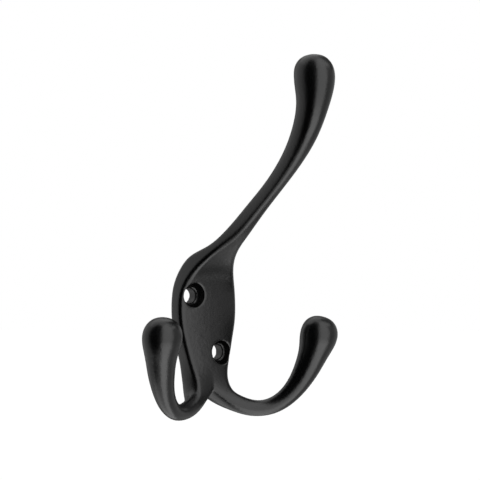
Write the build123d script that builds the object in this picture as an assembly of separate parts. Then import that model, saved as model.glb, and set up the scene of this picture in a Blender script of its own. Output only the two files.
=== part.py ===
from build123d import *
import os
from math import atan, cos, degrees, pi, radians, sin, tan

# Sizes are in millimetres and angles in degrees. The wall is the plane Y = 0, the hook faces -Y, +X is the
# viewer's right, and Z = 0 lies midway between the two screw holes. A reach is a distance out from the wall,
# and a hold is how far a curve keeps to its heading at one end.

# Wall plate: broad at its middle, drawn in to a waist above the fork of the lower arms
plate_width = 22.8
plate_widest_z = 4.5
plate_edge_thickness = 6.4
plate_crown = 0.6
edge_round = 1.8
waist_width = 15.1
waist_z = -19.0
waist_thickness = 8.7

# Screw holes, one high on the left and one low on the right, each sunk for a screw head
upper_hole_x = -6.2
lower_hole_x = 4.65
hole_spacing_z = 18.6
screw_hole_d = 4.9
head_recess_d = 7.9
recess_floor_d = 6.2
recess_floor = 4.2

# Neck, which narrows from the shoulders of the plate and leans forward into the upper arm
shoulder_z = 7.0
shoulder_top_reach = 0.7
shoulder_top_z = 17.1
shoulder_turn_reach = 3.4
shoulder_turn_z = 21.7
saddle_reach = 9.2
saddle_z = 24.7
neck_reach = 25.2
neck_z = 31.6
neck_depth = 5.6
neck_slope = 37.0
neck_narrowed_z = 33.0
neck_dish = 0.35
neck_dish_at = 0.4
neck_front_hold = 14.1
neck_top_hold = 7.4

# Upper arm, from the neck to the middle of its bulb
upper_reach = 61.55
upper_z = 75.6
upper_rise = 93.5
upper_hold = 20.6
upper_slim_width = 4.5
upper_slim_depth = 5.4
upper_bulb_width = 11.4
upper_bulb_depth = 13.4
upper_bulb_rise = 6.15
upper_tip_rise = 99.0
upper_slim_at = 0.28
upper_root_roundness = 0.2

# Fork, where each leg leaves the plate and then the wall
leg_top_z = -11.0
leg_waist_z = -18.0
leg_lift_at = 0.3
leg_crown = 0.5
leg_skew = 0.2
leg_draft = 6.0
leg_overlap_x = -5.5
leg_overlap_z = -17.5
crotch_z = -23.4
fork_x = 9.1
fork_reach = 9.65
fork_z = -26.2
fork_d = 5.8
fork_swing = 24.7
fork_dip = 23.7
fork_hold = 14.7

# Lower arms, from the fork to the middle of their bulbs
lower_x = 30.8
lower_reach = 25.6
lower_z = -3.4
lower_swing = 74.0
lower_rise = 71.9
lower_hold = 18.7
lower_slim_d = 5.3
lower_bulb_d = 12.4
lower_bulb_rise = 5.95
lower_tip_swing = 80.0
lower_slim_at = 0.2

# The back is lofted this far behind the wall plane and then cut flat on it
back_allowance = 0.3

# Sides that turn by round_lean from middle to end make, with their corners, a full circle
round_lean = 22.5
square_corner = 0.4
flat_lean = 2.0

# How fast sizes change along a strand: 1 is even, and more starts slower
root_power = 2.0
bulb_power = 1.75
dome_power = 0.8
plate_power = 3.0
lift_power = 2.4
front_power = 1.8
round_power = 2.0
lean_power = 3.0
side_power = 1.0
skew_power = 1.5


def at(x, reach, z):
    return Vector(x, -reach, z)


def way(swing, rise):
    # Unit heading: swing turns from +X towards the front, rise lifts it
    swing, rise = radians(swing), radians(rise)
    return at(cos(swing) * cos(rise), sin(swing) * cos(rise), sin(rise))


def ease(start, end, t):
    # From start to end along half a cosine wave, level at both ends
    return start + (end - start) * (1 - cos(pi * min(max(t, 0), 1))) / 2


def ease_in(start, end, t, power):
    # From start to end, slowly at first
    return start + (end - start) * t**power


def taper(t, root, slim, bulb, slim_at):
    # Size along an arm: slims from its root, then swells into the bulb
    if t < slim_at:
        return ease_in(slim, root, 1 - t / slim_at, root_power)
    return ease_in(slim, bulb, (t - slim_at) / (1 - slim_at), bulb_power)


def half_outline(width, front, back, corner, leans, draft):
    # Points of one side of a section, from the middle of its back round to the middle of its front. Its arcs
    # are tangent: the corner arcs, and a side, a front and a back that each bulge by their own lean, the
    # angle that they turn through from middle to end. The draft turns the side towards the front
    side, f, b = (radians(lean) for lean in leans)
    sf, sb = side + radians(draft), side - radians(draft)
    front_span = width - corner * (cos(sf) - sin(f))
    back_span = width - corner * (cos(sb) - sin(b))
    height = front + back - corner * (cos(f) - sin(sf) + cos(b) - sin(sb))
    side_radius = (height - front_span * tan(f / 2) - back_span * tan(b / 2)) / (
        sin(sf) + sin(sb) - (1 - cos(sf)) * tan(f / 2) - (1 - cos(sb)) * tan(b / 2)
    )
    front_x = front_span - side_radius * (1 - cos(sf))
    back_x = back_span - side_radius * (1 - cos(sb))
    front_rim = (front_x, front - front_x * tan(f / 2))
    back_rim = (back_x, back_x * tan(b / 2) - back)
    side_front = (width - side_radius * (1 - cos(sf)), front_rim[1] - corner * (cos(f) - sin(sf)))
    side_back = (width - side_radius * (1 - cos(sb)), back_rim[1] + corner * (cos(b) - sin(sb)))
    side_turn = radians(draft)
    side_middle = (
        width - side_radius * (1 - cos(side_turn)),
        side_front[1] - side_radius * (sin(sf) - sin(side_turn)),
    )
    front_turn = (sf + pi / 2 - f) / 2
    back_turn = (sb + pi / 2 - b) / 2
    front_corner = (
        side_front[0] - corner * (cos(sf) - cos(front_turn)),
        side_front[1] + corner * (sin(front_turn) - sin(sf)),
    )
    back_corner = (
        side_back[0] - corner * (cos(sb) - cos(back_turn)),
        side_back[1] - corner * (sin(back_turn) - sin(sb)),
    )
    front_way = front_x / (2 * cos(f / 2))
    back_way = back_x / (2 * cos(b / 2))
    front_curve = (front_way, front - front_way * tan(f / 4))
    back_curve = (back_way, back_way * tan(b / 4) - back)
    back_points = [(0, -back), back_curve, back_rim, back_corner, side_back]
    return back_points + [side_middle, side_front, front_corner, front_rim, front_curve, (0, front)]


def section(middle, heading, widths, front, back, corner, leans, draft=0):
    # Outline square to the heading, with a width to the right and one to the left of its middle
    right, left = (half_outline(width, front, back, corner, leans, draft) for width in widths)
    points = right[:-1] + [(-x, y) for x, y in left[::-1]]
    outline = [ThreePointArc(*points[i : i + 3]) for i in range(0, len(points) - 1, 2)]
    across = Vector(0, -1, 0).cross(heading).normalized()
    return Plane(middle, x_dir=across, z_dir=heading) * Wire(outline)


def crown_lean(crown, half_width):
    return degrees(2 * atan(crown / half_width))


def crowned_section(back_point, front_point, half_width, crown):
    # Plate or neck section from its back to the line of its front edges, crowned between those edges
    forward = front_point - back_point
    heading = Vector(1, 0, 0).cross(forward).normalized()
    front = forward.length + crown
    lean = crown_lean(crown, half_width)
    widths = (half_width, half_width)
    return section(back_point, heading, widths, front, 0, edge_round, (flat_lean, lean, flat_lean))


def arm_section(middle, heading, half_width, half_depth, roundness):
    # Arm section between a rounded rectangle and, at roundness 1, a circle
    corner = min(half_width, half_depth) * (square_corner + (1 - square_corner) * roundness)
    leans = (round_lean * roundness,) * 3
    return section(middle, heading, (half_width, half_width), half_depth, half_depth, corner, leans)


def dome_sections(centre, tip_way, heading, half_width, half_depth, rise):
    # Rounded end of an arm, from near its widest to a spot too small to see
    sections = []
    for angle in (25, 48, 66, 78, 86, 89):
        ring = cos(radians(angle)) ** dome_power
        middle = centre + tip_way * rise * sin(radians(angle))
        sections.append(arm_section(middle, heading, half_width * ring, half_depth * ring, 1))
    return sections


def plate_half_width(z):
    if z > shoulder_z:
        return ease(plate_width, upper_slim_width, (z - shoulder_z) / (neck_narrowed_z - shoulder_z)) / 2
    return ease(plate_width, waist_width, (plate_widest_z - z) / (plate_widest_z - waist_z)) / 2


def plate_front(z):
    # Reach of the front edges, which thicken towards the waist
    drop = max(plate_widest_z - z, 0) / (plate_widest_z - waist_z)
    return ease_in(plate_edge_thickness, waist_thickness, drop, plate_power)


def neck_crown(t):
    # The crown of the plate sinks into a slight dish where the neck turns forward
    if t < neck_dish_at:
        return ease(plate_crown, -neck_dish, t / neck_dish_at)
    return ease(-neck_dish, 0, (t - neck_dish_at) / (1 - neck_dish_at))


# Upper arm, with sections from its neck to its tip that all head back down to the plate
neck_way = way(90, neck_slope)
neck_forward = way(90, neck_slope - 90)
neck = at(0, neck_reach, neck_z)
neck_front = neck + neck_forward * neck_depth / 2
neck_back = neck - neck_forward * neck_depth / 2
upper_end = at(0, upper_reach, upper_z)
upper_way = way(90, upper_rise)
upper_spine = Bezier(neck, neck + neck_way * upper_hold, upper_end - upper_way * upper_hold, upper_end)
neck_half_width = plate_half_width(neck_front.Z)
upper_sections = []
for t in (0.14, 0.28, 0.42, 0.56, 0.7, 0.85, 1.0):
    half_width = taper(t, neck_half_width, upper_slim_width / 2, upper_bulb_width / 2, upper_slim_at)
    half_depth = taper(t, neck_depth / 2, upper_slim_depth / 2, upper_bulb_depth / 2, upper_slim_at)
    roundness = upper_root_roundness + (1 - upper_root_roundness) * t
    heading = -(upper_spine % t)
    upper_sections.append(arm_section(upper_spine @ t, heading, half_width, half_depth, roundness))
upper_tip_way = way(90, upper_tip_rise)
upper_sections += dome_sections(
    upper_end, upper_tip_way, -upper_way, upper_bulb_width / 2, upper_bulb_depth / 2, upper_bulb_rise
)

# Neck: each section joins a front rail and a back rail that run up from the plate to the arm
front_start = at(0, plate_front(shoulder_z), shoulder_z)
front_rail = Bezier(
    front_start,
    front_start + Vector(0, 0, neck_front_hold),
    neck_front - neck_way * neck_top_hold,
    neck_front,
)
back_rail = Spline(
    at(0, -back_allowance, shoulder_z),
    at(0, shoulder_top_reach, shoulder_top_z),
    at(0, shoulder_turn_reach, shoulder_turn_z),
    at(0, saddle_reach, saddle_z),
    neck_back,
    tangents=(Vector(0, 0, 1), neck_way),
)
neck_sections = []
for t in (0.0, 0.15, 0.28, 0.4, 0.52, 0.64, 0.76, 0.88):
    front_point = front_rail.position_at(t * front_rail.length, PositionMode.LENGTH)
    back_point = back_rail.position_at(t * back_rail.length, PositionMode.LENGTH)
    half_width = plate_half_width(front_point.Z)
    crown = neck_crown(t)
    neck_sections.append(crowned_section(back_point, front_point, half_width, crown))

# Plate below the shoulders
plate_sections = []
for t in (0.33, 0.67, 1.0):
    z = shoulder_z + (leg_top_z - shoulder_z) * t
    crown = ease(plate_crown, leg_crown, t)
    plate_sections.append(
        crowned_section(at(0, -back_allowance, z), at(0, plate_front(z), z), plate_half_width(z), crown)
    )

# Right lower arm: a sweep outward, down and up again to its bulb
fork = at(fork_x, fork_reach, fork_z)
fork_way = way(fork_swing, -fork_dip)
lower_end = at(lower_x, lower_reach, lower_z)
lower_way = way(lower_swing, lower_rise)
lower_spine = Bezier(fork, fork + fork_way * fork_hold, lower_end - lower_way * lower_hold, lower_end)
lower_sections = []
for t in (0.0, 0.14, 0.28, 0.42, 0.56, 0.7, 0.85, 1.0):
    radius = taper(t, fork_d / 2, lower_slim_d / 2, lower_bulb_d / 2, lower_slim_at)
    lower_sections.append(arm_section(lower_spine @ t, lower_spine % t, radius, radius, 1))
lower_bulb_r = lower_bulb_d / 2
lower_tip_way = way(lower_tip_swing, lower_rise)
lower_sections += dome_sections(
    lower_end, lower_tip_way, lower_way, lower_bulb_r, lower_bulb_r, lower_bulb_rise
)

# Right leg: each section joins an outer rail, which carries on the side of the plate, and an inner rail,
# which crosses the middle plane at the crotch. Both lie flat on the wall, and the leg lifts off it midway
fork_across = Vector(0, -1, 0).cross(fork_way).normalized()
fork_flat_way = fork_across.cross(Vector(0, -1, 0))
fork_flat = at(fork_x, 0, fork_z)
leg_top = plate_half_width(leg_top_z)
side_way = Vector(plate_half_width(leg_top_z - 1) - leg_top, 0, -1)
outer_rail = Spline(
    at(leg_top, 0, leg_top_z),
    at(waist_width / 2, 0, leg_waist_z),
    fork_flat + fork_across * fork_d / 2,
    tangents=(side_way, fork_flat_way),
)
inner_rail = Spline(
    at(-leg_top, 0, leg_top_z),
    at(leg_overlap_x, 0, leg_overlap_z),
    at(0, 0, crotch_z),
    fork_flat - fork_across * fork_d / 2,
    tangents=(Vector(-side_way.X, 0, -1), fork_flat_way),
)
leg_sections = []
for t in (0.2, 0.4, 0.6, 0.8):
    outer = outer_rail @ t
    inner = inner_rail @ t
    lift = max(t - leg_lift_at, 0) / (1 - leg_lift_at)
    back = ease_in(-back_allowance, fork_reach - fork_d / 2, lift, lift_power)
    front = ease_in(plate_front(leg_top_z) + leg_crown, fork_reach + fork_d / 2, t, front_power)
    half_depth = (front - back) / 2
    swell = sin(pi * t**skew_power)
    apex = 0.5 - leg_skew * swell
    middle = inner + (outer - inner) * apex + at(0, (front + back) / 2, 0)
    flat_way = (outer - inner).normalized().cross(Vector(0, -1, 0))
    heading = flat_way + at(0, ease_in(0, -fork_way.Y / fork_way.dot(fork_flat_way), t, round_power), 0)
    corner = ease_in(edge_round, fork_d / 2, t, round_power)
    leans = (
        ease_in(flat_lean, round_lean, t, side_power),
        ease_in(crown_lean(leg_crown, leg_top), round_lean, t, lean_power),
        ease_in(flat_lean, round_lean, t, lean_power),
    )
    width = (outer - inner).length
    widths = (width * (1 - apex), width * apex)
    draft = leg_draft * swell
    leg_sections.append(
        section(middle, heading.normalized(), widths, half_depth, half_depth, corner, leans, draft)
    )

# One strand runs from the tip of the upper arm down through the plate to the tip of the right lower arm
strand = Solid.make_loft(
    upper_sections[::-1] + neck_sections[::-1] + plate_sections + leg_sections + lower_sections
)

# Half the casting is what lies right of the middle plane and in front of the wall; the other half mirrors it
cutter_length = 3 * waist_thickness
span = 4 * max(upper_reach, upper_z)
right_half = strand & Box(span, span, span, align=(Align.MIN, Align.MAX, Align.CENTER))
hook_body = right_half + mirror(right_half, about=Plane.YZ)

# Screw holes: a bore right through and a wider recess that opens outward from its floor
recess_depth = plate_edge_thickness + plate_crown - recess_floor
recess_flare = (head_recess_d - recess_floor_d) / 2
for x, z in ((upper_hole_x, hole_spacing_z / 2), (lower_hole_x, -hole_spacing_z / 2)):
    hole = Plane((x, 0, z), x_dir=(1, 0, 0), z_dir=(0, -1, 0))
    hook_body -= hole * Cylinder(screw_hole_d / 2, cutter_length)
    hook_body -= hole * Pos(0, 0, recess_floor) * Cone(
        recess_floor_d / 2,
        recess_floor_d / 2 + 2 * recess_flare,
        2 * recess_depth,
        align=(Align.CENTER, Align.CENTER, Align.MIN),
    )

os.makedirs("parts", exist_ok=True)
export_step(hook_body, "parts/hook_body.step")
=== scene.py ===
import bmesh
import bpy
import math
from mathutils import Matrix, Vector


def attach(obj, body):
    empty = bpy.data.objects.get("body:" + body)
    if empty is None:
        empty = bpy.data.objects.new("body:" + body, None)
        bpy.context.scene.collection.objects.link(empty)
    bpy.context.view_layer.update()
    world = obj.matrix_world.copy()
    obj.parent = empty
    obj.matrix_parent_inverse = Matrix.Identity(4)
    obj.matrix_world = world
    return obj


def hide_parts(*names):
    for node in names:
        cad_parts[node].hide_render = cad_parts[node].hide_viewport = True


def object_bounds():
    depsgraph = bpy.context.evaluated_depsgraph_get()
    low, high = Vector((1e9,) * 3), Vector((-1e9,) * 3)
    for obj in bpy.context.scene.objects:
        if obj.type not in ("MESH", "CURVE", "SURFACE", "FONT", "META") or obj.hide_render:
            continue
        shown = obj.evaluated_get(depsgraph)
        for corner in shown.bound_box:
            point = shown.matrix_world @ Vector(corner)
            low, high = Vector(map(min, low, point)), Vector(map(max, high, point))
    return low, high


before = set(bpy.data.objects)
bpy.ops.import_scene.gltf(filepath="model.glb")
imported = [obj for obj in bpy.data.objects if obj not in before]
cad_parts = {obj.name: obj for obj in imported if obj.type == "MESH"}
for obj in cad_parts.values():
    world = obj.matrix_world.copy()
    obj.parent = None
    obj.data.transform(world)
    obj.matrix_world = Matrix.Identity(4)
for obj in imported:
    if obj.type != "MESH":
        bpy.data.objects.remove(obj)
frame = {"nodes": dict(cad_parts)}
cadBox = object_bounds()
print("frame loaded:", ", ".join(frame["nodes"]))


def linearColour(hexText):  # sRGB hex to the linear values that shaders take
    channels = [int(hexText[i : i + 2], 16) / 255 for i in (1, 3, 5)]
    return (*[c / 12.92 if c <= 0.04045 else ((c + 0.055) / 1.055) ** 2.4 for c in channels], 1.0)


def addNode(tree, kind, settings=None, inputs=None):  # inputs: a value, or another node's output to link
    node = tree.nodes.new(kind)
    for name, value in (settings or {}).items():
        setattr(node, name, value)
    for name, value in (inputs or {}).items():
        if isinstance(value, bpy.types.NodeSocket):
            tree.links.new(value, node.inputs[name])
        else:
            node.inputs[name].default_value = value
    return node


def newTree(owner):  # an empty node tree on a material or a world
    owner.use_nodes = True
    owner.node_tree.nodes.clear()
    return owner.node_tree


def addObject(name, data):  # an object at the origin, in the scene
    thing = bpy.data.objects.new(name, data)
    bpy.context.scene.collection.objects.link(thing)
    return thing


# Satin black lacquer, sprayed and baked on a zinc die casting. The eye sees a deep black body under a soft,
# even sheen, a fine orange peel where the spray flowed out, and no metal anywhere.
lacquer = {
    "colour": "#050506",
    "ior": 1.5,
    "roughness": (0.27, 0.33),  # the sheen varies a little from place to place
    "sheenPatch": 9.0,  # mm across one patch of that
    "sheenSpan": (0.3, 0.7),  # the noise levels that give the least and the most roughness
    "sheenDetail": 3.0,
    "peelSize": 0.9,  # mm between the crests of the orange peel
    "peelDepth": 0.035,  # mm
    "peelDetail": 1.0,
}


def satinLacquer(values):
    material = bpy.data.materials.new("satinBlackLacquerOnZinc")
    tree = newTree(material)
    place = addNode(tree, "ShaderNodeTexCoord").outputs["Object"]
    patches = addNode(
        tree,
        "ShaderNodeTexNoise",
        inputs={"Vector": place, "Scale": 1000 / values["sheenPatch"], "Detail": values["sheenDetail"]},
    )
    spanLow, spanHigh = values["sheenSpan"]
    low, high = values["roughness"]
    span = {"From Min": spanLow, "From Max": spanHigh, "To Min": low, "To Max": high}
    sheen = addNode(tree, "ShaderNodeMapRange", inputs={"Value": patches.outputs["Fac"], **span})
    peel = addNode(
        tree,
        "ShaderNodeTexNoise",
        inputs={"Vector": place, "Scale": 1000 / values["peelSize"], "Detail": values["peelDetail"]},
    )
    bump = addNode(
        tree,
        "ShaderNodeBump",
        inputs={"Strength": 1.0, "Distance": values["peelDepth"] / 1000, "Height": peel.outputs["Fac"]},
    )
    shader = addNode(
        tree,
        "ShaderNodeBsdfPrincipled",
        inputs={
            "Base Color": linearColour(values["colour"]),
            "IOR": values["ior"],
            "Roughness": sheen.outputs["Result"],
            "Normal": bump.outputs["Normal"],
        },
    )
    addNode(tree, "ShaderNodeOutputMaterial", inputs={"Surface": shader.outputs["BSDF"]})
    return material


# The casting: the CAD solid with its edges and hole mouths eased, as a coat of lacquer leaves them
hook = {
    "weld": 0.001,  # mm within which the loose corners of the CAD mesh are merged
    "mesh": 0.325,  # mm between points
    "easing": 3,  # rounds of smoothing
}


def makeHook(values):
    mesh = frame["nodes"]["hook_body"].data.copy()
    work = bmesh.new()
    work.from_mesh(mesh)
    bmesh.ops.remove_doubles(work, verts=work.verts, dist=values["weld"] / 1000)
    work.to_mesh(mesh)
    work.free()
    piece = addObject("hookCasting", mesh)
    remesh = piece.modifiers.new("evenMesh", "REMESH")
    remesh.mode = "VOXEL"
    remesh.voxel_size = values["mesh"] / 1000
    ease = piece.modifiers.new("easedEdges", "SMOOTH")
    ease.iterations = values["easing"]
    shaped = piece.evaluated_get(bpy.context.evaluated_depsgraph_get())
    piece.data = bpy.data.meshes.new_from_object(shaped)
    piece.modifiers.clear()
    piece.data.materials.clear()
    piece.data.materials.append(satinLacquer(lacquer))
    piece.data.shade_smooth()
    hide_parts("hook_body")
    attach(piece, "root")
    return piece


hookCasting = makeHook(hook)
print("hook casting:", len(hookCasting.data.polygons), "faces")

# Camera: the photo's place and angle
camera = {
    "place": (-0.277212, -0.405156, 0.008396),
    "heading": 36.0,  # degrees to the right of straight at the wall
    "tilt": 2.27,  # degrees upward
    "lens": 110.68,
    "sensor": 36.0,
    "nearest": 0.01,  # m to the nearest thing that it shows
}


def makeCamera(values):
    view = addObject("photoCamera", bpy.data.cameras.new("photoCamera"))
    heading, tilt = math.radians(values["heading"]), math.radians(values["tilt"])
    ahead = Vector((math.sin(heading) * math.cos(tilt), math.cos(heading) * math.cos(tilt), math.sin(tilt)))
    view.location = values["place"]
    view.rotation_euler = ahead.to_track_quat("-Z", "Y").to_euler()
    view.data.sensor_width = values["sensor"]
    view.data.lens = values["lens"]
    view.data.clip_start = values["nearest"]
    bpy.context.scene.camera = view


makeCamera(camera)
print("camera set")

# Studio: a white room. Large panels round the hook, seen only by its gloss, are what its sheen mirrors.
# Angles are in degrees, to the right of the camera and above the horizon, as the hook sees them.
studio = {
    "distance": 1.2,  # m from the hook to the panels
    "step": 4.0,  # degrees between a panel's points
    "panels": {  # left, right, bottom, top, level (1 is white)
        "rightSoftbox": (3, 64, -34, 78, 1.95),
        "upperSoftbox": (64, 106, 38, 78, 1.6),
        "lowSoftbox": (-3, 74, -90, -34, 2.9),
        "lightTable": (74, 160, -90, -60, 2.2),
        "farTable": (160, 282, -90, -46, 1.4),
        "darkCard": (-80, -3, -58, 74, 0.0),
        "rightWall": (64, 106, -34, 38, 0.5),
        "lowRightWall": (74, 106, -60, -34, 0.5),
        "farRightWall": (106, 158, -60, 22, 0.5),
        "upperRightWall": (106, 158, 22, 70, 0.15),
        "backWall": (158, 216, -46, 40, 0.22),
        "leftWall": (216, 282, -46, 40, 0.62),
    },
}
white = linearColour("#ffffff")


def panelMaterial(name, level):
    material = bpy.data.materials.new(name)
    tree = newTree(material)
    glow = addNode(tree, "ShaderNodeEmission", inputs={"Color": white, "Strength": level})
    addNode(tree, "ShaderNodeOutputMaterial", inputs={"Surface": glow.outputs[0]})
    return material


def makePanel(name, values, left, right, bottom, top, level):
    columns = max(2, round((right - left) / values["step"]) + 1)
    rows = max(2, round((top - bottom) / values["step"]) + 1)
    points = []
    for row in range(rows):
        rise = math.radians(bottom + (top - bottom) * row / (rows - 1))
        ringSize = math.cos(rise)
        for column in range(columns):
            swing = math.radians(left + (right - left) * column / (columns - 1) - camera["heading"])
            way = Vector((math.sin(swing) * ringSize, -math.cos(swing) * ringSize, math.sin(rise)))
            points.append(way * values["distance"])
    faces = [
        (r * columns + c, r * columns + c + 1, (r + 1) * columns + c + 1, (r + 1) * columns + c)
        for r in range(rows - 1)
        for c in range(columns - 1)
    ]
    mesh = bpy.data.meshes.new(name)
    mesh.from_pydata(points, [], faces)
    mesh.materials.append(panelMaterial(name, level))
    panel = addObject(name, mesh)
    panel.visible_camera = panel.visible_diffuse = panel.visible_shadow = False
    panel.visible_transmission = panel.visible_volume_scatter = False


for name, panelValues in studio["panels"].items():
    makePanel(name, studio, *panelValues)
print("studio panels:", len(studio["panels"]))


def seenDirectly(tree):  # 1 for the rays of the camera, of gloss and of glass, 0 for diffuse light
    path = addNode(tree, "ShaderNodeLightPath").outputs
    pair = {0: path["Is Camera Ray"], 1: path["Is Glossy Ray"]}
    either = addNode(tree, "ShaderNodeMath", {"operation": "MAXIMUM"}, pair)
    withGlass = {0: either.outputs[0], 1: path["Is Transmission Ray"]}
    return addNode(tree, "ShaderNodeMath", {"operation": "MAXIMUM"}, withGlass).outputs[0]


# Floor: matt white paint, well below the hook. It glows just enough to show white, and dims in the shadow.
floor = {
    "drop": 0.1,  # m below the hook's lowest point
    "radius": 6.0,  # m
    "edges": 96,
    "colour": "#b9b9b9",
    "glow": 0.54,
}


def makeFloor(values):
    mesh = bpy.data.meshes.new("studioFloor")
    level = cadBox[0][2] - values["drop"]
    turns = [2 * math.pi * i / values["edges"] for i in range(values["edges"])]
    rim = [(math.cos(turn) * values["radius"], math.sin(turn) * values["radius"], level) for turn in turns]
    mesh.from_pydata(rim, [], [range(values["edges"])])
    material = bpy.data.materials.new("mattWhiteFloorPaint")
    tree = newTree(material)
    paint = addNode(tree, "ShaderNodeBsdfDiffuse", inputs={"Color": linearColour(values["colour"])})
    lit = addNode(
        tree, "ShaderNodeMath", {"operation": "MULTIPLY"}, {0: seenDirectly(tree), 1: values["glow"]}
    )
    glow = addNode(tree, "ShaderNodeEmission", inputs={"Color": white, "Strength": lit.outputs[0]})
    upper = addNode(tree, "ShaderNodeAddShader", inputs={0: paint.outputs[0], 1: glow.outputs[0]})
    clear = addNode(tree, "ShaderNodeBsdfTransparent")
    under = addNode(tree, "ShaderNodeNewGeometry").outputs["Backfacing"]  # open from below
    sides = addNode(tree, "ShaderNodeMixShader", inputs={0: under, 1: upper.outputs[0], 2: clear.outputs[0]})
    addNode(tree, "ShaderNodeOutputMaterial", inputs={"Surface": sides.outputs[0]})
    mesh.materials.append(material)
    ground = addObject("studioFloor", mesh)
    ground.visible_glossy = False  # the lower panels stand for it in the sheen


makeFloor(floor)

# One soft light from overhead, which gives the floor its shadow
lamp = {"strength": 1.4, "spread": 15.0}  # spread in degrees: more is softer


def makeLamp(values):
    light = bpy.data.lights.new("overheadLight", "SUN")
    light.energy = values["strength"]
    light.angle = math.radians(values["spread"])
    source = addObject("overheadLight", light)
    source.visible_glossy = False  # the panels are what the sheen mirrors


makeLamp(lamp)
print("floor and light set")

# White surround for the camera, gloss and glass, and a softer one for the light on matt surfaces
surround = {"fill": 0.55}


def makeSurround(values):
    world = bpy.data.worlds.new("whiteSurround")
    bpy.context.scene.world = world
    tree = newTree(world)
    levels = {"To Min": values["fill"], "To Max": 1.0}
    strength = addNode(tree, "ShaderNodeMapRange", inputs={"Value": seenDirectly(tree), **levels})
    background = addNode(
        tree, "ShaderNodeBackground", inputs={"Color": white, "Strength": strength.outputs["Result"]}
    )
    addNode(tree, "ShaderNodeOutputWorld", inputs={"Surface": background.outputs[0]})


makeSurround(surround)
bpy.context.scene.view_settings.view_transform = "Standard"
print("surround set")
